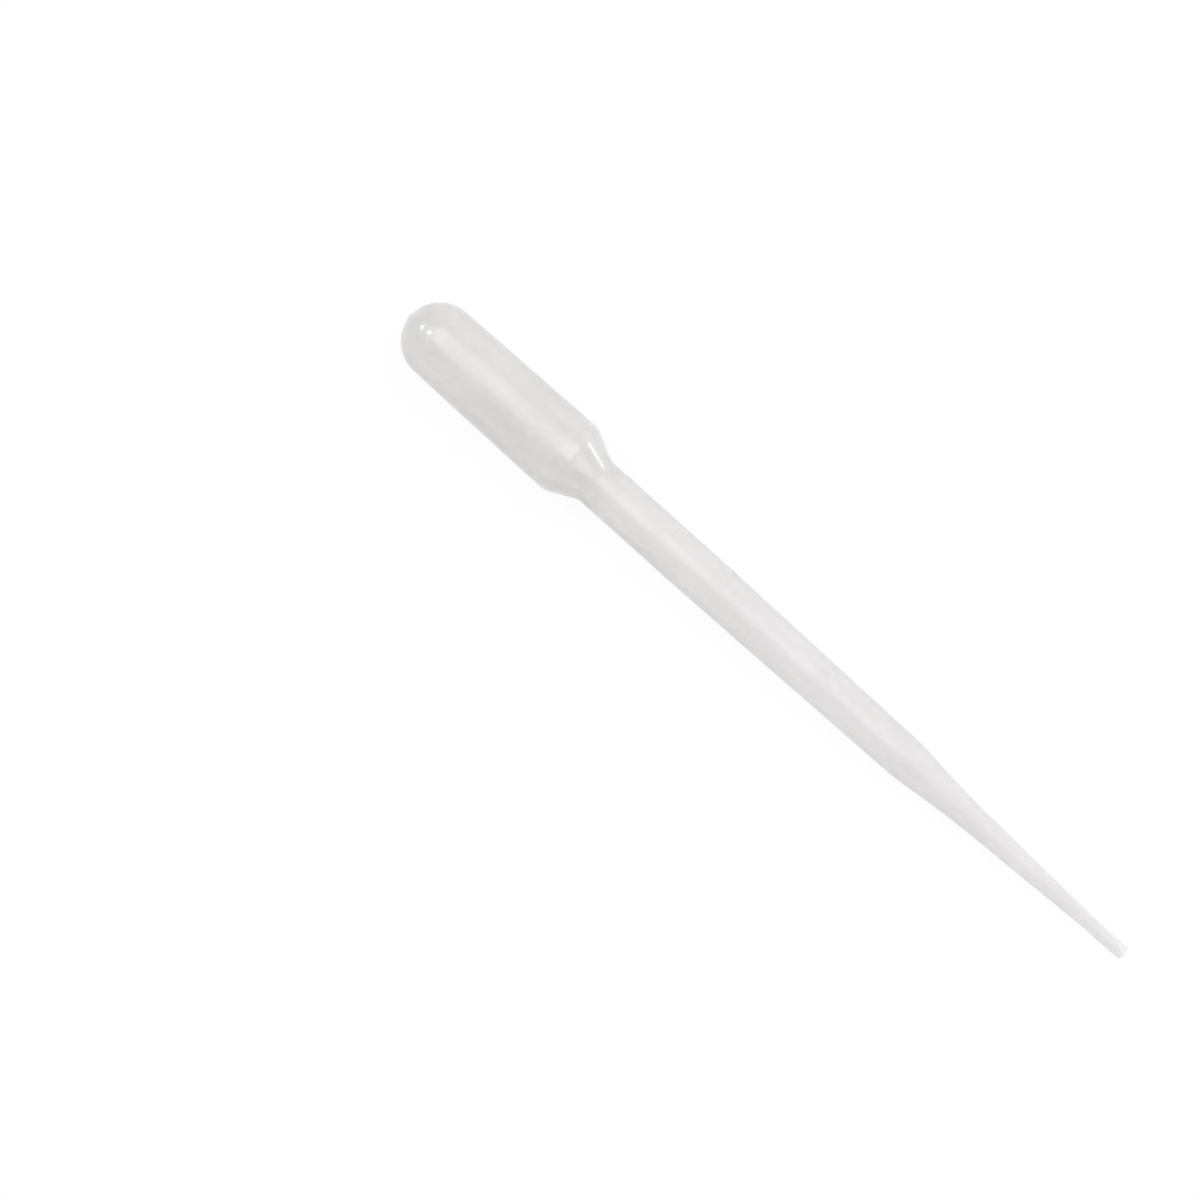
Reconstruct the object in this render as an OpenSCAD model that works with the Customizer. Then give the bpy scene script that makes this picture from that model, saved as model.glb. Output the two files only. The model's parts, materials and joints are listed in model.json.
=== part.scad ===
// Graduated dropper pipette, blown in one piece from soft translucent polyethylene.
//
// The wall is one section turned about the pipette's own axis: a fine square-cut
// nozzle, a drawn taper in two stages, a stem, a short conical shoulder and a squeeze
// bulb with a round dome.  It lies on a table as it comes to rest, on the rim of the
// bulb and on the low end of the stem, so its axis leans up a little towards the bulb.
// The soft wall has a small flat at each of those two places, which stops it rolling.
//
// Frame: X runs along the table from the tip to the bulb, Z is up, and the origin is
// on the table under the middle of the pipette.  All sizes are in millimetres.

/* [Nozzle] */
// Outer diameter of the straight nozzle at the tip
nozzle_d = 2.4; // [2.2:0.1:3.6]
// Bore of the nozzle
nozzle_bore = 1.5; // [1:0.1:1.7]
// Length of the straight nozzle
nozzle_length = 8; // [4:0.5:20]

/* [Drawn taper] */
// Length of the slender drawn stage above the nozzle
draw_length = 29; // [15:1:50]
// Outer diameter where the slender stage ends
waist_d = 4.9; // [4.2:0.1:6.4]
// Length of the quicker stage, from the waist up to the stem
flare_length = 12; // [8:1:25]

/* [Stem] */
// Outer diameter of the stem at its low end
stem_d = 7.3; // [6.6:0.1:8.4]
// Length over which the stem widens up to the neck
stem_length = 47; // [35:1:90]
// Outer diameter of the straight neck under the bulb
neck_d = 8.4; // [7.2:0.1:10]
// Length of the straight neck
neck_length = 23; // [15:1:40]

/* [Bulb] */
// Length of the conical shoulder between neck and bulb
shoulder_length = 5.2; // [3:0.1:9]
// Outer diameter of the bulb at the rim of its shoulder
rim_d = 13.7; // [11:0.1:18]
// Outer diameter that the bulb's sides narrow to at its far end
bulb_end_d = 12.9; // [10:0.1:17]
// Length of the bulb, from the rim to the top of the dome
bulb_length = 35.8; // [25:0.1:60]

/* [Wall] */
// Thickness of the wall along the stem and neck
stem_wall = 0.5; // [0.3:0.05:0.7]
// Thickness of the wall of the bulb, which is blown further and comes out thinner
bulb_wall = 0.42; // [0.3:0.02:0.8]

/* [Blends] */
// Hollow radius where the nozzle runs into the taper
nozzle_blend = 60; // [10:5:120]
// Hollow radius at the waist, between the two stages of the taper
waist_blend = 150; // [20:10:250]
// Round radius where the taper runs out into the stem
flare_blend = 50; // [5:5:100]
// Round radius where the stem runs out into the neck
neck_blend = 120; // [20:10:250]
// Hollow radius where the neck meets the shoulder
root_blend = 1.6; // [0.8:0.1:3]
// Round radius of the rim between shoulder and bulb
rim_blend = 1.4; // [0.9:0.1:3]

/* [Graduations] */
// Volume between one mark and the next, in millilitres
mark_step = 0.5; // [0.25:0.25:0.5]
// Number of marks up the stem
mark_count = 6; // [1:1:6]
// How far a mark stands out from the stem
mark_height = 0.12; // [0.05:0.01:0.25]
// Width of a mark along the stem
mark_width = 0.5; // [0.3:0.05:0.8]
// Part of a turn that the mark of a whole millilitre covers, in degrees
whole_sweep = 84; // [40:2:120]
// Part of a turn that a mark between two whole ones covers, in degrees
half_sweep = 48; // [20:2:80]

/* [Mould marks] */
// How far the two lines left by the parting of the mould stand out
parting_height = 0.07; // [0.03:0.01:0.15]
// Part of a turn that a parting line covers, in degrees
parting_sweep = 1.6; // [1:0.2:4]
// How far the seam pinched across the top of the dome stands out
pinch_height = 0.25; // [0.1:0.05:0.5]
// Thickness of the pinched seam
pinch_width = 0.55; // [0.3:0.05:1]
// Radius that the crest of the pinched seam follows
pinch_r = 4.6; // [3:0.1:4.8]

/* [Lie] */
// How far the marks are rolled away from straight up, in degrees
roll = 50; // [-60:1:60]
// Depth of the small flats that the soft wall has where it rests on the table
flat_depth = 0.14; // [0.04:0.01:0.16]

/* [Hidden] */
$fn = 96;
// A blend is drawn in at least this many pieces, and in one for each so many degrees.
blend_pieces = 4;
blend_step = 6;
ml_per_mm3 = 0.001;

// Places along the pipette's axis, counted from the end of the nozzle.
nozzle_end = nozzle_length;
waist = nozzle_end + draw_length;
stem_start = waist + flare_length;
neck_start = stem_start + stem_length;
shoulder_start = neck_start + neck_length;
rim = shoulder_start + shoulder_length;
top = rim + bulb_length;
nozzle_wall = (nozzle_d - nozzle_bore) / 2;

// The dome is a quarter round that carries on from the bulb's side and closes on the
// axis.  It rounds off the corner where that side, carried on, would reach the top.
dome_corner_r = bulb_end_d / 2;
side_lean = atan((rim_d / 2 - dome_corner_r) / bulb_length);
dome_r = dome_corner_r / tan(45 - side_lean / 2);

// Corners of the outline before they are rounded, as [along the axis, radius], with
// the radius of the blend and the thickness of the wall at each.
corners = [
    [0, nozzle_d / 2],
    [nozzle_end, nozzle_d / 2],
    [waist, waist_d / 2],
    [stem_start, stem_d / 2],
    [neck_start, neck_d / 2],
    [shoulder_start, neck_d / 2],
    [rim, rim_d / 2],
    [top, dome_corner_r],
    [top, 0],
];
blends = [0, nozzle_blend, waist_blend, flare_blend, neck_blend, root_blend, rim_blend, dome_r];
walls = [
    nozzle_wall, nozzle_wall, (nozzle_wall + stem_wall) / 2, stem_wall,
    stem_wall, stem_wall, bulb_wall, bulb_wall, bulb_wall,
];
dome = len(corners) - 2;

function unit(v) = v / norm(v);

// The way out of the wall, square to the run of the outline that ends at corner i.
function outward(i) =
    let (run = corners[i] - corners[i - 1])
    unit([-run.y, run.x]);

// 1 where the outline is round at corner i, and -1 where it is hollow.
function bulge(i) =
    sign(cross(corners[i + 1] - corners[i], corners[i] - corners[i - 1]));

// Corner i moved out of the wall, so that both runs that meet there move by as much.
function moved(i, out) =
    let (
        before = outward(max(i, 1)),
        after = outward(min(i, dome) + 1)
    )
    corners[i] + out * (before + after) / (1 + before * after);

// Points of the round that touches the runs b-a and b-c, no longer than half a run,
// or on the dome the whole of the last run.
function round_off(a, b, c, radius, share) =
    let (
        back = unit(a - b),
        on = unit(c - b),
        half = acos(back * on) / 2,
        r = min(radius, share * min(norm(a - b), norm(c - b)) * tan(half)),
        centre = b + unit(back + on) * r / sin(half),
        start = b + back * r / tan(half) - centre,
        turn = (180 - 2 * half) * sign(cross(on, back)),
        pieces = max(blend_pieces, ceil(abs(turn) / blend_step))
    )
    [for (k = [0:pieces])
        let (angle = turn * k / pieces)
        centre + [
            start.x * cos(angle) - start.y * sin(angle),
            start.x * sin(angle) + start.y * cos(angle)
        ]];

// The rounded outline, moved out by one distance and in by a share of the wall.
function outline(out, into = 0) =
    let (path = [for (i = [0:dome + 1]) moved(i, out - into * walls[i])])
    [path[0],
        for (i = [1:dome])
            let (r = blends[i] + bulge(i) * (out - into * walls[i]))
            each round_off(path[i - 1], path[i], path[i + 1], r, i == dome ? 1 : 0.5)];

outside = outline(0);
inside = outline(0, 1);

// Volume of the bore below a place on the axis, as a stack of cone slices.
function slice(a, b) = PI * (b.x - a.x) * (a.y * a.y + a.y * b.y + b.y * b.y) / 3;

function held(place, i = 1, sum = 0) =
    let (
        a = inside[i - 1],
        b = inside[i],
        cut = [place, a.y + (b.y - a.y) * (place - a.x) / (b.x - a.x)]
    )
    place <= b.x ? sum + slice(a, cut) : held(place, i + 1, sum + slice(a, b));

// The place up to which the bore holds a volume in mm3, found by halving.
function filled(volume, low = 0, high = top - bulb_wall, tries = 24) =
    let (middle = (low + high) / 2)
    tries == 0 ? middle
        : held(middle) < volume ? filled(volume, middle, high, tries - 1)
        : filled(volume, low, middle, tries - 1);

// The lean at which the stem and the bulb both reach the table: the least of the
// slopes from each point low on the pipette up to the bulb.
low_points = [for (p = outside) if (p.x <= neck_start) p];
bulb_points = [for (p = outside) if (p.x > shoulder_start && p.x < top) p];
lean = atan(min([for (p = low_points)
    max([for (q = bulb_points) (q.y - p.y) / (q.x - p.x)])]));
lift = max([for (p = outside) p.y * cos(lean) - p.x * sin(lean)]);

// How far the pipette reaches along the table, at the tip and at the dome's seam.
seam_centre = top + pinch_height - pinch_r;
tip_reach = min([for (p = outside) p.x * cos(lean) - p.y * sin(lean)]);
dome_reach = seam_centre * cos(lean) + pinch_r;

// Lays down on the table what is drawn upright on its tip, with its marks towards X,
// as deep as the flats.
module lying() {
    translate([-(tip_reach + dome_reach) / 2, 0, lift - flat_depth])
        rotate([0, 90 - lean, 0])
            rotate([0, 0, 180 + roll])
                children();
}

function reversed(list) = [for (i = [len(list) - 1:-1:0]) list[i]];

// Turns a section, drawn as [along the axis, radius], about the upright axis.
module turned(section, sweep = 360) {
    nearly_axis = 0.000001;
    rotate([0, 0, -sweep / 2])
        rotate_extrude(angle = sweep)
            polygon([for (p = section) [p.y < nearly_axis ? 0 : p.y, p.x]]);
}

// The outer form, closed over the dome.
module blown_form() {
    turned(concat(outside, [[0, 0]]));
}

// The hollow from the open nozzle up into the bulb.
module bore() {
    overshoot = 1;
    turned(concat([[-overshoot, nozzle_bore / 2]], inside, [[-overshoot, 0]]));
}

// One raised mark, a low bead that follows the outline and is half sunk in the wall.
module mark(place, sweep) {
    sides = 10;
    turned([for (k = [0:sides - 1])
        let (
            along = place + mark_width / 2 * sin(360 * k / sides),
            height = mark_height * cos(360 * k / sides)
        )
        [along, lookup(along, outside) + height]
    ], sweep);
}

// A mark wherever the bore holds one step more, longer at each whole millilitre.
module graduations() {
    for (i = [1:mark_count]) {
        volume = i * mark_step;
        whole = volume == round(volume);
        mark(filled(volume / ml_per_mm3), whole ? whole_sweep : half_sweep);
    }
}

// The lines that the parting of the mould leaves, up both sides from nozzle to dome.
module parting_lines() {
    from_cut = 0.3;
    from_seam = pinch_r / 3;
    crest = [for (p = outline(parting_height)) if (p.x > from_cut && p.y > from_seam) p];
    root = [for (p = outline(0, 0.5)) if (p.x > from_cut && p.y > from_seam) p];
    for (side = [-90, 90])
        rotate([0, 0, side])
            turned(concat(crest, reversed(root)), parting_sweep);
}

// The seam pinched shut across the top of the dome, which runs out into its sides.
module pinched_seam() {
    intersection() {
        translate([0, 0, seam_centre])
            sphere(r = pinch_r);
        translate([-pinch_width / 2, -pinch_r, seam_centre])
            cube([pinch_width, 2 * pinch_r, 2 * pinch_r]);
    }
}

// All that would reach below the table, which the flats leave off.
module under_table() {
    spare = 5;
    translate([tip_reach - dome_reach, -rim_d, -spare])
        cube([2 * (dome_reach - tip_reach), 2 * rim_d, spare]);
}

module pipette() {
    color([0.93, 0.93, 0.92, 0.8])
        difference() {
            lying()
                difference() {
                    union() {
                        blown_form();
                        graduations();
                        parting_lines();
                        pinched_seam();
                    }
                    bore();
                }
            under_table();
        }
}

pipette();
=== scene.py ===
# A graduated dropper pipette, blown in one piece from soft milky polyethylene, lying on
# white paper.  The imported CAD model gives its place, and the pipette is drawn round it.
import bpy
import json
from math import acos, atan2, ceil, cos, pi, radians, sin, tan
from mathutils import Matrix, Vector


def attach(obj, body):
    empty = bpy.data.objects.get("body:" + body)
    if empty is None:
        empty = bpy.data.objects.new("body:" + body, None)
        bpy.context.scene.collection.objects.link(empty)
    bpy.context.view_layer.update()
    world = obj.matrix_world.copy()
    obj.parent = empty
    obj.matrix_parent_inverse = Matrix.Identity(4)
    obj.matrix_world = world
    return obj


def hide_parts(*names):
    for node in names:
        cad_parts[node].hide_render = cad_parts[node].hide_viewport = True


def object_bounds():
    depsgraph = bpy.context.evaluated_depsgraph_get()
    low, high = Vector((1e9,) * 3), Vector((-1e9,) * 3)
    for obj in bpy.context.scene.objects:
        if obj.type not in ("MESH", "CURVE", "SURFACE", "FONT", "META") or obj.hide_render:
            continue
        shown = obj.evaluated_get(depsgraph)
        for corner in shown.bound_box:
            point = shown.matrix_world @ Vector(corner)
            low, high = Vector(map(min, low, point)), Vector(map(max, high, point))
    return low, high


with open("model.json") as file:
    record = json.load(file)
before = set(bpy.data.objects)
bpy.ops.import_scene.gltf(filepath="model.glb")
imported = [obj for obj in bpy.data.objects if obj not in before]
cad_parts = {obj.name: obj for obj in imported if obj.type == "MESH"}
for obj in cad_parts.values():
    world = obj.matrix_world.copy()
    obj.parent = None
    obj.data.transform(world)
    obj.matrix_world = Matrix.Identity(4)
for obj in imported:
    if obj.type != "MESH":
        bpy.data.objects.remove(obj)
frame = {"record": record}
cad_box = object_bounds()
scene = bpy.context.scene
mm = 0.001

# ---------------------------------------------------------------------------------------
# The paper and the light.  The pipette lies on a sheet of white paper, and the camera
# looks straight down on it.  One broad lamp, five weaker ones and a pale room light it.
# ---------------------------------------------------------------------------------------
view_centre = Vector((25.05, 14.25, 5.0)) * mm
view_width = 200.1 * mm
lens, sensor = 85.0, 36.0
camera_turn = radians(-138.23)
nearest, furthest = 0.01, 20

eye = bpy.data.cameras.new("eye")
eye.lens, eye.sensor_width = lens, sensor
eye.clip_start, eye.clip_end = nearest, furthest
camera = bpy.data.objects.new("eye", eye)
camera.location = view_centre + Vector((0, 0, view_width * lens / sensor))
camera.rotation_euler = (0, 0, camera_turn)
scene.collection.objects.link(camera)
scene.camera = camera
scene.view_settings.view_transform = "Standard"


class Wire:
    """A socket in a node tree.  Python's operators on it add the Math nodes."""

    def __init__(self, tree, socket=None):
        self.tree = tree
        self.socket = socket

    def made(self, kind, settings, sockets, outlet=0):
        """Adds a node with these settings, then feeds its sockets, and gives an outlet."""
        node = self.tree.nodes.new(kind)
        for name, value in settings.items():
            setattr(node, name, value)
        for name, value in sockets.items():
            if isinstance(value, Wire):
                self.tree.links.new(value.socket, node.inputs[name])
            else:
                node.inputs[name].default_value = value
        return Wire(self.tree, node.outputs[outlet]) if node.outputs else None

    def maths(self, operation, *others):
        sockets = dict(enumerate((self, *others)))
        return self.made("ShaderNodeMath", {"operation": operation}, sockets)

    def __add__(self, other):
        return self.maths("ADD", other)

    def __sub__(self, other):
        return self.maths("SUBTRACT", other)

    def __rsub__(self, other):
        return self.made("ShaderNodeMath", {"operation": "SUBTRACT"}, {0: other, 1: self})

    def __mul__(self, other):
        return self.maths("MULTIPLY", other)

    def __truediv__(self, other):
        return self.maths("DIVIDE", other)

    __radd__ = __add__
    __rmul__ = __mul__

    def size(self):
        return self.maths("ABSOLUTE")

    def share(self):
        """This value held between 0 and 1."""
        return self.maths("MAXIMUM", 0.0).maths("MINIMUM", 1.0)


def shader(name):
    """A new material with no nodes, and a wire to start from."""
    material = bpy.data.materials.new(name)
    material.use_nodes = True
    material.node_tree.nodes.clear()
    return material, Wire(material.node_tree)


# The paper is matt where light falls on it, and near to plain white where it is looked
# at, straight or in a gloss or through the plastic.  It lies just under the pipette.
paper_size = 6.0
paper_gap = 0.00002
paper_shade = 0.9
paper_white = 0.92
white = (1, 1, 1, 1)
paper, start = shader("white paper")
camera_ray = start.made("ShaderNodeLightPath", {}, {}, "Is Camera Ray")
rays = camera_ray.socket.node.outputs
seen = camera_ray + Wire(start.tree, rays["Is Glossy Ray"])
seen = (seen + Wire(start.tree, rays["Is Transmission Ray"])).share()
matt = start.made("ShaderNodeBsdfDiffuse", {}, {"Color": (*[paper_shade] * 3, 1)})
glow = start.made("ShaderNodeEmission", {}, {"Color": white, "Strength": 1.0})
sheet = start.made("ShaderNodeMixShader", {}, {0: seen * paper_white, 1: matt, 2: glow})
sheet.made("ShaderNodeOutputMaterial", {}, {"Surface": sheet})

half = paper_size / 2
paper_mesh = bpy.data.meshes.new("paper")
paper_mesh.from_pydata([(x, y, -paper_gap) for x, y in (
    (-half, -half), (half, -half), (half, half), (-half, half))], [], [(0, 1, 2, 3)])
paper_mesh.materials.append(paper)
bench = bpy.data.objects.new("paper", paper_mesh)
scene.collection.objects.link(bench)

# Where each lamp stands, how wide and how high it is, and its power in watts.
lamps = [
    ((0.10, -0.20, 0.90), 0.70, 0.70, 2.8),     # the broad lamp overhead
    ((-0.80, -0.10, 0.58), 0.60, 0.50, 0.9),    # a weaker one past the tip
    ((-0.56, -0.835, 0.06), 0.30, 0.08, 0.6),   # a low strip, for the shoulder's streak
    ((0.63, 0.02, 0.78), 0.14, 0.14, 1.2),      # two small ones past the bulb, for the
    ((0.93, 0.05, 0.40), 0.14, 0.14, 0.9),      # two spots of light on the dome
    ((-0.12, -0.06, 0.16), 0.14, 0.14, 0.018),  # a faint one close over the tip
]
for place, width, height, power in lamps:
    light = bpy.data.lights.new("softbox", "AREA")
    light.shape = "RECTANGLE"
    light.size, light.size_y, light.energy = width, height, power
    lamp = bpy.data.objects.new("softbox", light)
    lamp.location = place
    lamp.rotation_euler = (-Vector(place)).to_track_quat("-Z", "Y").to_euler()
    lamp.visible_camera = False
    scene.collection.objects.link(lamp)

# The room is an even pale grey.  Low down it is brighter on both sides of the pipette, on
# the one more than on the other, and dimmer past the bulb.  The camera sees plain white.
room_grey, near_bright, far_bright, end_dim = 0.58, 1.5, 0.8, 0.45
room = bpy.data.worlds.new("room")
room.use_nodes = True
room.node_tree.nodes.clear()
scene.world = room
air = Wire(room.node_tree)
way = air.made("ShaderNodeTexCoord", {}, {}, "Generated")
past_bulb = air.made("ShaderNodeSeparateXYZ", {}, {"Vector": way}, "X").share()
aside = air.made("ShaderNodeSeparateXYZ", {}, {"Vector": way}, "Y")
overhead = air.made("ShaderNodeSeparateXYZ", {}, {"Vector": way}, "Z").share()
low = 1 - overhead
near_wall = aside.share() * low * low * low * near_bright
far_wall = (0 - aside).share() * low * far_bright
dim_end = past_bulb * low * low * end_dim
lit = room_grey + near_wall + far_wall - dim_end
straight = air.made("ShaderNodeLightPath", {}, {}, "Is Camera Ray")
sky = air.made("ShaderNodeBackground", {}, {"Color": lit, "Strength": 1.0})
beyond = air.made("ShaderNodeBackground", {}, {"Color": white, "Strength": 1.0})
all_round = air.made("ShaderNodeMixShader", {}, {0: straight, 1: sky, 2: beyond})
all_round.made("ShaderNodeOutputWorld", {}, {"Surface": all_round})

# ---------------------------------------------------------------------------------------
# The blown wall.  Nozzle, drawn taper, stem, shoulder and bulb are one blow moulding of
# low-density polyethylene, 0.42 to 0.5 mm thick and hollow from the tip to the dome.
# ---------------------------------------------------------------------------------------
# The mould's outline, in millimetres from the tip: a chain of straight runs and a dome.
nozzle_d, nozzle_bore, nozzle_length = 2.4, 1.5, 8.0
draw_length, waist_d, flare_length = 29.0, 4.9, 12.0
stem_d, stem_length, neck_d, neck_length = 7.3, 47.0, 8.4, 23.0
shoulder_length, rim_d, bulb_end_d, bulb_length = 5.2, 13.7, 12.9, 35.8
stem_wall, bulb_wall = 0.5, 0.42
nozzle_wall = (nozzle_d - nozzle_bore) / 2
roll = radians(50)

# The corners where the runs meet, and the wall's thickness and the rounding at each.
runs = [nozzle_length, draw_length, flare_length, stem_length, neck_length,
        shoulder_length, bulb_length]
places = [sum(runs[:k]) for k in range(len(runs) + 1)]
rim, top = places[-2:]
radii = [d / 2 for d in (nozzle_d, nozzle_d, waist_d, stem_d, neck_d, neck_d, rim_d,
                         bulb_end_d, 0)]
corners = [Vector(point) for point in zip(places + [top], radii)]
walls = [nozzle_wall, nozzle_wall, (nozzle_wall + stem_wall) / 2, stem_wall, stem_wall,
         stem_wall, bulb_wall, bulb_wall, bulb_wall]
side_lean = atan2((rim_d - bulb_end_d) / 2, bulb_length)
dome_r = bulb_end_d / 2 / tan(pi / 4 - side_lean / 2)
blends = [0, 60, 150, 50, 120, 1.6, 1.4, dome_r]
dome = len(corners) - 2
blend_pieces, blend_step = 8, radians(2.5)


def moved(i, inward):
    """A corner moved into the wall, so that both runs that meet there move by as much."""
    def outward(k):
        run = (corners[k] - corners[k - 1]).normalized()
        return Vector((-run.y, run.x))

    before, after = outward(max(i, 1)), outward(min(i, dome) + 1)
    return corners[i] - inward * walls[i] * (before + after) / (1 + before.dot(after))


def outline(inward):
    """The rounded outline, moved in by a share of the wall, from the nozzle to the dome."""
    path = [moved(i, inward) for i in range(dome + 2)]
    points = path[:1]
    for i in range(1, dome + 1):
        a, b, c = path[i - 1:i + 2]
        back, on = (a - b).normalized(), (c - b).normalized()
        bulge = 1 if back.x * on.y > back.y * on.x else -1
        half_corner = acos(back.dot(on)) / 2
        room_for_it = (1 if i == dome else 0.5) * min((a - b).length, (c - b).length)
        r = min(blends[i] - bulge * inward * walls[i], room_for_it * tan(half_corner))
        centre = b + (back + on).normalized() * r / sin(half_corner)
        first = b + back * r / tan(half_corner) - centre
        turn = -bulge * (pi - 2 * half_corner)
        steps = max(blend_pieces, ceil(abs(turn) / blend_step))
        points += [centre + Matrix.Rotation(turn * k / steps, 2) @ first
                   for k in range(steps + 1)]
    return points


def ringed(points, step, extra=()):
    """The outline with no straight run longer than a step, and with extra rings."""
    rings = [points[0]]
    for a, b in zip(points, points[1:]):
        parts = ceil((b - a).length / step)
        between = [a.lerp(b, k / parts) for k in range(1, parts)]
        between += [a.lerp(b, (x - a.x) / (b.x - a.x)) for x in extra if a.x < x < b.x]
        rings += sorted(between, key=lambda p: p.x) + [b]
    return rings


outer, inner = outline(0), outline(1)

# The volume marks are cut into the mould, so they stand out of the stem: a long one at
# each whole millilitre, with its numeral over it, and a short one between.
mark_step, mark_count = 0.5, 6
mark_height, mark_width = 0.12, 0.7
whole_sweep, half_sweep = radians(84), radians(48)
numeral_height, numeral_width, numeral_size, numeral_gap = 0.10, 0.45, 1.9, 0.85
bore_step = 0.5


def filled(volume, bore=ringed(inner, bore_step)):
    """The place up to which the bore holds a volume in cubic millimetres."""
    held = 0
    for a, b in zip(bore, bore[1:]):
        cone = pi * (b.x - a.x) * (a.y * a.y + a.y * b.y + b.y * b.y) / 3
        if held + cone >= volume:
            return a.x + (b.x - a.x) * (volume - held) / cone
        held += cone


def arc(y, r, start, end, steps=9):
    """Points of an arc about a point on a numeral's upright, with angles in degrees."""
    turns = [radians(start + (end - start) * k / steps) for k in range(steps + 1)]
    return [(r * cos(t), y + r * sin(t)) for t in turns]


# The stroke of each numeral as points across and up, in shares of its height.
strokes = {
    1: [(-0.20, 0.78), (0.06, 1.0), (0.06, 0.0)],
    2: arc(0.71, 0.29, 160, -35) + [(-0.30, 0.0), (0.32, 0.0)],
    3: arc(0.755, 0.245, 150, -90) + arc(0.265, 0.265, 85, -150),
}

# The marks and numerals unrolled flat, and the extra rings that the mesh needs at them.
mark_rings, mark_ring_turn, numeral_ring_step = 5, 18, 0.075
mark_lines, numeral_lines, fine_rings = [], [], []
for k in range(1, mark_count + 1):
    volume = k * mark_step
    place = filled(volume / mm)
    r = next(p.y for p in outer if p.x >= place)
    whole = volume == round(volume)
    reach = r * (whole_sweep if whole else half_sweep) / 2
    mark_lines.append([(place, -reach), (place, reach)])
    fine_rings += [place + mark_width / 2 * sin(radians(mark_ring_turn * n))
                   for n in range(-mark_rings, mark_rings + 1)]
    if whole:
        foot = place + numeral_gap
        numeral_lines.append([(foot + up * numeral_size, across * numeral_size)
                              for across, up in strokes[round(volume)]])
        first, last = foot - numeral_width / 2, foot + numeral_size + numeral_width / 2
        steps = ceil((last - first) / numeral_ring_step)
        fine_rings += [first + (last - first) * n / steps for n in range(steps + 1)]


def guide(name, lines):
    """An object of loose edges that the wall's nodes measure from."""
    points = [(x * mm, y * mm, 0) for line in lines for x, y in line]
    edges, first = [], 0
    for line in lines:
        edges += [(first + n, first + n + 1) for n in range(len(line) - 1)]
        first += len(line)
    mesh = bpy.data.meshes.new(name)
    mesh.from_pydata(points, edges, [])
    return bpy.data.objects.new(name, mesh)


# The section runs down the outside, from the dome to the nozzle, and back up the bore.
# The nozzle was cut across with a knife, and the cut's edges are a little rounded.
cut_round, bore_round, from_cut = 0.2, 0.1, 0.3
outside_step, bore_ring_step = 1.5, 3.0
lip_turn, lip_pieces = 15, 6
quarter = [radians(lip_turn * k) for k in range(lip_pieces + 1)]
lip = [Vector((cut_round * (1 - sin(a)), nozzle_d / 2 - cut_round * (1 - cos(a))))
       for a in quarter]
lip += [Vector((bore_round * (1 - cos(a)), nozzle_bore / 2 + bore_round * (1 - sin(a))))
        for a in quarter]
down = ringed([lip[0], *outer[1:]], outside_step, fine_rings)[::-1]
section = down + lip[1:-1] + ringed([lip[-1], *inner[1:]], bore_ring_step)

# The seam across the dome, where the end of the tube was pinched shut, stands up from it.
pinch_height, pinch_width, pinch_r = 0.15, 0.75, 4.6


def seam_over(p):
    """How far the seam stands over the dome at a ring, along the axis."""
    if p.x < rim or p.y >= pinch_r:
        return 0.0
    crest = top + pinch_height - pinch_r + (pinch_r ** 2 - p.y ** 2) ** 0.5
    return max(0.0, crest - p.x)


section_mesh = bpy.data.meshes.new("section")
section_mesh.from_pydata([(p.x * mm, p.y * mm, 0) for p in section], [], [])
proud = section_mesh.attributes.new("proud", "FLOAT", "POINT")
seam = section_mesh.attributes.new("seam", "FLOAT", "POINT")
outward = section_mesh.attributes.new("outward", "FLOAT_VECTOR", "POINT")
for k, p in enumerate(section):
    outside = k < len(down)
    run = (section[max(k - 1, 0)] - section[min(k + 1, len(section) - 1)]).normalized()
    proud.data[k].value = float(outside and p.x > from_cut)
    seam.data[k].value = seam_over(p) * mm if outside else 0.0
    outward.data[k].vector = (-run.y, run.x, 0)

# How the axis lies: where its end at the tip is, and how far it leans up to the bulb.
neck_mount = next(m for m in frame["record"]["mounts"] if m["name"] == "neck")
axis = -Vector(neck_mount["axis"])
on_axis = Vector(neck_mount["pos_m"])
lean = atan2(axis.z, axis.x)
tip_x = cad_box[0].x + nozzle_d / 2 * mm * sin(lean)
tip = Vector((tip_x, 0, on_axis.z - (on_axis.x - tip_x) * tan(lean)))

# The plastic is milky, waxy and half clear, satin from the mould.  Faint lines run along
# it from the die, it is cloudier here and there, and painted shade makes the bulb greyer
# than the stem.  It is glossier round the shoulder and over the dome.
clear_milk, cloudy_milk = (1.0, 0.986, 0.984, 1), (0.93, 0.914, 0.912, 1)
# A greyer copy of the milk, which paints shade over the bulb.
clear_shaded_milk, cloudy_shaded_milk = (0.945, 0.921, 0.914, 1), (0.88, 0.86, 0.853, 1)
cloud_share, mottle_share, cloud_start = 1.6, 1.4, 1.0
shade_up_the_stem, shade_over_the_neck = 0.4, 0.6
wave_relief, mottle_relief, line_relief, grain_relief = 0.0001, 0.00005, 0.00003, 0.000008
satin, satin_change = 0.26, 0.08
gloss, shoulder_more, dome_more = 0.06, 0.9, 0.55
plastic, start = shader("milky polyethylene")
where = start.made("ShaderNodeTexCoord", {}, {}, "Object")
level = start.made("ShaderNodeMapping", {}, {"Vector": where, "Rotation": (0, lean, 0)})


def noise(scale, detail, stretch=(1, 1, 1)):
    """A pattern with so many waves to the metre, drawn out along the axis by a stretch."""
    drawn = start.made("ShaderNodeVectorMath", {"operation": "MULTIPLY"},
                       {0: level, 1: stretch})
    return start.made("ShaderNodeTexNoise", {}, {
        "Vector": drawn, "Scale": scale, "Detail": detail})


def bounded(start_at, full_at):
    """A share that rises from 0 to 1 between two places along the pipette, in mm."""
    rise = (station - start_at * mm) / ((full_at - start_at) * mm)
    return rise.share()


def mixed(share, colour, other):
    """A colour that turns into another one as a share rises from 0 to 1."""
    return start.made("ShaderNodeMix", {"data_type": "RGBA"},
                      {0: share, 6: colour, 7: other}, 2)


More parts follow.
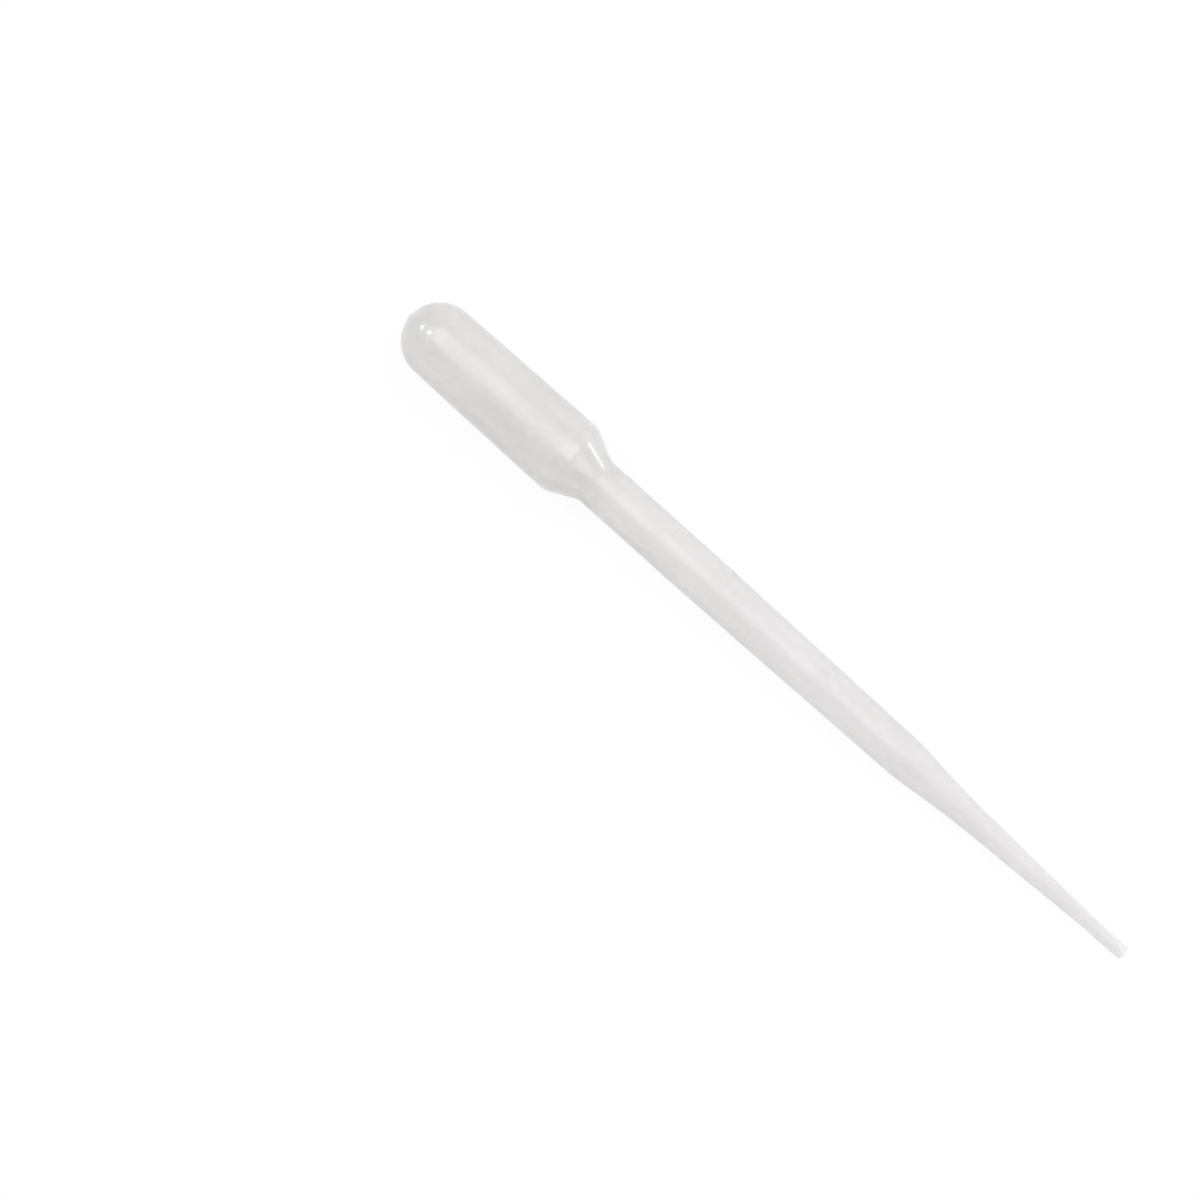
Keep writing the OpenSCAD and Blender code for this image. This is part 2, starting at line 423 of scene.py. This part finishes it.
station = start.made("ShaderNodeSeparateXYZ", {}, {"Vector": level}, "X")
station = station - (tip.x * cos(lean) + tip.z * sin(lean))
cloud = noise(140, 3.0, (0.6, 1, 1))
mottle = noise(620, 2.0)
die_lines = noise(1400, 2.0, (0.03, 1, 1))
grain = noise(4200, 2.0)
waves = noise(170, 1.0, (0.45, 1, 1))
cloudy = (cloud * cloud_share + mottle * mottle_share - cloud_start).share()
stem_milk = mixed(cloudy, clear_milk, cloudy_milk)
shaded_bulb_milk = mixed(cloudy, clear_shaded_milk, cloudy_shaded_milk)
# Painted shade: the colour turns a little greyer up the stem, and fully greyer from the
# neck to the bulb.
painted_shade_share = bounded(70, 112) * shade_up_the_stem + bounded(114, 124) * shade_over_the_neck
shoulder_gloss = bounded(119, 120.5) * bounded(127, 126)
dome_gloss = bounded(150, 154)
relief = waves * wave_relief + mottle * mottle_relief
relief = relief + die_lines * line_relief + grain * grain_relief
bump = start.made("ShaderNodeBump", {}, {
    "Strength": 1.0, "Distance": 1.0, "Height": relief})
body = start.made("ShaderNodeBsdfPrincipled", {}, {
    "Base Color": mixed(painted_shade_share, stem_milk, shaded_bulb_milk),
    "Roughness": satin + grain * satin_change + cloud * satin_change,
    "IOR": 1.51,
    "Specular IOR Level": 0.9,
    "Normal": bump,
    "Transmission Weight": 0.45,
    "Coat Weight": gloss + shoulder_gloss * shoulder_more + dome_gloss * dome_more,
    "Coat Roughness": 0.06,
})
body.made("ShaderNodeOutputMaterial", {}, {"Surface": body})

# What the wall's nodes take, by name: lengths in metres and angles in radians.
parting_height, parting_width = 0.03, 0.4
column_count, crowding = 192, 0.7
inputs = {
    "Marks": ("Object", guide("marks", mark_lines)),
    "Numerals": ("Object", guide("numerals", numeral_lines)),
    "Rings": ("Int", len(section)),
    "Columns": ("Int", column_count),
    "Crowding": ("Float", crowding),
    "Mark height": ("Float", mark_height * mm),
    "Mark width": ("Float", mark_width * mm),
    "Numeral height": ("Float", numeral_height * mm),
    "Numeral width": ("Float", numeral_width * mm),
    "Parting height": ("Float", parting_height * mm),
    "Parting width": ("Float", parting_width * mm),
    "Pinch width": ("Float", pinch_width * mm),
    "Roll": ("Float", roll),
    "Lean": ("Float", lean),
    "Tip": ("Vector", tip),
    "Plastic": ("Material", plastic),
}
tree = bpy.data.node_groups.new("blown wall", "GeometryNodeTree")
tree.interface.new_socket("Section", in_out="INPUT", socket_type="NodeSocketGeometry")
for name, (kind, value) in inputs.items():
    tree.interface.new_socket(name, in_out="INPUT", socket_type="NodeSocket" + kind)
tree.interface.new_socket("Wall", in_out="OUTPUT", socket_type="NodeSocketGeometry")
inlet = tree.nodes.new("NodeGroupInput")
given = {socket.name: Wire(tree, socket) for socket in inlet.outputs if socket.name}
start = Wire(tree)

# A grid of rings and columns.  Its columns crowd together where details are, at the
# middle of the marks and at the two parting lines, which are a quarter turn apart.
columns = given["Columns"]
grid = start.made("GeometryNodeMeshGrid", {}, {
    "Vertices X": given["Rings"], "Vertices Y": columns + 1})
index = start.made("GeometryNodeInputIndex", {}, {})
ring = ((index + 0.5) / (columns + 1)).maths("FLOOR")
even = (index - ring * (columns + 1)) / columns * (2 * pi) - pi
angle = even - (even * 4).maths("SINE") * given["Crowding"] / 4


def at_ring(kind, value):
    """What the section has at this point's ring."""
    return start.made("GeometryNodeSampleIndex", {"data_type": kind}, {
        "Geometry": given["Section"], "Value": value, "Index": ring})


def named(kind, name):
    """One of the section's own values at this point's ring."""
    return at_ring(kind, start.made("GeometryNodeInputNamedAttribute", {"data_type": kind},
                                    {"Name": name}, "Attribute"))


def parts(vector):
    """A vector's three numbers."""
    return [vector.made("ShaderNodeSeparateXYZ", {}, {"Vector": vector}, letter)
            for letter in "XYZ"]


def ridge(distance, height, width):
    """A rounded bead of a height and width over whatever is this far away."""
    across = (distance / (width / 2)).share()
    return (1 - across * across).maths("POWER", 2.0) * height


def cut_in(name):
    """How far the wall stands out over one set of strokes, unrolled round the stem."""
    strokes = start.made("GeometryNodeObjectInfo", {}, {"Object": given[name + "s"]},
                         "Geometry")
    unrolled = start.made("ShaderNodeCombineXYZ", {}, {"X": along, "Y": angle * radius})
    distance = start.made("GeometryNodeProximity", {"target_element": "EDGES"}, {
        "Geometry": strokes, "Sample Position": unrolled}, "Distance")
    return ridge(distance, given[name + " height"], given[name + " width"])


position = start.made("GeometryNodeInputPosition", {}, {})
along, radius, _ = parts(at_ring("FLOAT_VECTOR", position))
out_along, out_radius, _ = parts(named("FLOAT_VECTOR", "outward"))
proud = named("FLOAT", "proud")
from_parting = (angle.size() - pi / 2).size() * radius
parting = ridge(from_parting, given["Parting height"], given["Parting width"])
clear_of_seam = (radius / (pinch_r / 3 * mm)).share()
raised = cut_in("Mark").maths("MAXIMUM", cut_in("Numeral"))
raised = raised.maths("MAXIMUM", parting * clear_of_seam) * proud
across_seam = (angle.maths("COSINE") * radius).size()
thirds_out = across_seam / (given["Pinch width"] / 3)
pinched = (1.5 - thirds_out).share() * named("FLOAT", "seam")
along = along + out_along * raised + pinched
radius = radius + out_radius * raised

# Each point is laid on the paper: the axis leans up towards the bulb, and the wall is
# pressed flat where it rests.
same_point = 1e-7
turned = angle + given["Roll"]
upward = turned.maths("COSINE") * radius
lean_cos, lean_sin = given["Lean"].maths("COSINE"), given["Lean"].maths("SINE")
tip_x, _, tip_z = parts(given["Tip"])
laid = start.made("ShaderNodeCombineXYZ", {}, {
    "X": tip_x + along * lean_cos - upward * lean_sin,
    "Y": 0 - turned.maths("SINE") * radius,
    "Z": (tip_z + along * lean_sin + upward * lean_cos).maths("MAXIMUM", 0.0)})
wall = start.made("GeometryNodeSetPosition", {}, {"Geometry": grid, "Position": laid})
wall = start.made("GeometryNodeMergeByDistance", {}, {
    "Geometry": wall, "Distance": same_point})
wall = start.made("GeometryNodeSetShadeSmooth", {}, {"Geometry": wall})
wall = start.made("GeometryNodeRealizeInstances", {}, {"Geometry": wall})
wall = start.made("GeometryNodeSetMaterial", {}, {
    "Geometry": wall, "Material": given["Plastic"]})
wall.made("NodeGroupOutput", {}, {"Wall": wall})

# The nodes' result becomes a plain mesh, and it is the whole pipette.
blank = bpy.data.objects.new("blank", section_mesh)
scene.collection.objects.link(blank)
modifier = blank.modifiers.new("blown wall", "NODES")
modifier.node_group = tree
sockets = {item.name: item.identifier for item in tree.interface.items_tree}
for name, (kind, value) in inputs.items():
    modifier[sockets[name]] = value
evaluated = blank.evaluated_get(bpy.context.evaluated_depsgraph_get())
blown = bpy.data.meshes.new_from_object(evaluated)
blown.name = "pipette_wall"
pipette = bpy.data.objects.new("pipette_wall", blown)
scene.collection.objects.link(pipette)
bpy.data.objects.remove(blank)

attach(pipette, "root")
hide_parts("pipette")
